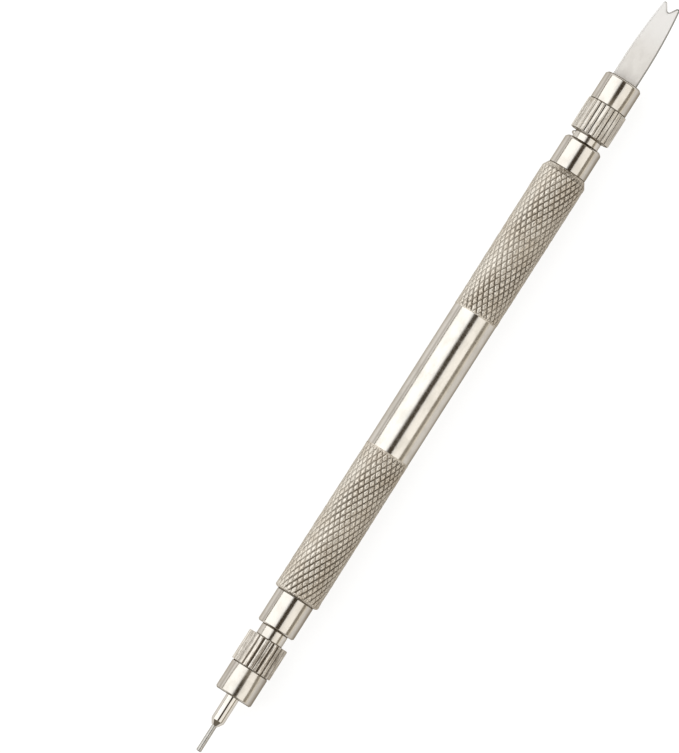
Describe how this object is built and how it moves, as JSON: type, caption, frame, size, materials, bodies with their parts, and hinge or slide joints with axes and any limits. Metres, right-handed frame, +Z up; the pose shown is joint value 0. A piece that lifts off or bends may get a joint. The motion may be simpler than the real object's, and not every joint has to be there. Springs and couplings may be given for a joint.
{
  "type": "spring bar tool",
  "caption": "Double-ended spring bar tool: knurled steel handle with a screw chuck at each end, one holding a flat forked blade and the other a reversible pin tip.",
  "frame": {"origin": "bottom centre of the bounding box: on the plane the grips rest on, halfway along the whole tool", "axes": "+X along the tool towards the forked blade, the pin end at -X, the blade flat in the XY plane, +Z up"},
  "size_m": [0.144, 0.0082, 0.0081],
  "materials": {
    "handle": "turned and knurled, satin",
    "chuck": "turned",
    "nut": "turned and knurled, satin",
    "blade": "matte, tumbled",
    "tip_holder": "ground, bright",
    "tip_rod": "hardened, ground"
  },
  "bodies": {
    "handle": {"handle": "handle", "fork_chuck": "chuck", "pin_chuck": "chuck"},
    "fork_nut": {"fork_nut": "nut"},
    "pin_nut": {"pin_nut": "nut"},
    "fork_blade": {"fork_blade": "blade"},
    "reversible_tip": {"tip_holder": "tip_holder", "point_pin": "tip_rod", "fine_fork": "tip_rod"}
  },
  "joints": [
    {"name": "fork_nut_turn", "type": "hinge", "parent": "handle", "child": "fork_nut", "pos_m": [0.052, 0, 0.00407], "axis": [1, 0, 0], "range_deg": [0, 1080]},
    {"name": "pin_nut_turn", "type": "hinge", "parent": "handle", "child": "pin_nut", "pos_m": [-0.0562, 0, 0.00407], "axis": [-1, 0, 0], "range_deg": [0, 1080]},
    {"name": "fork_blade_pull", "type": "slide", "parent": "handle", "child": "fork_blade", "axis": [1, 0, 0], "range_m": [0, 0.0136]},
    {"name": "reversible_tip_pull", "type": "slide", "parent": "handle", "child": "reversible_tip", "axis": [-1, 0, 0], "range_m": [0, 0.0171]}
  ]
}
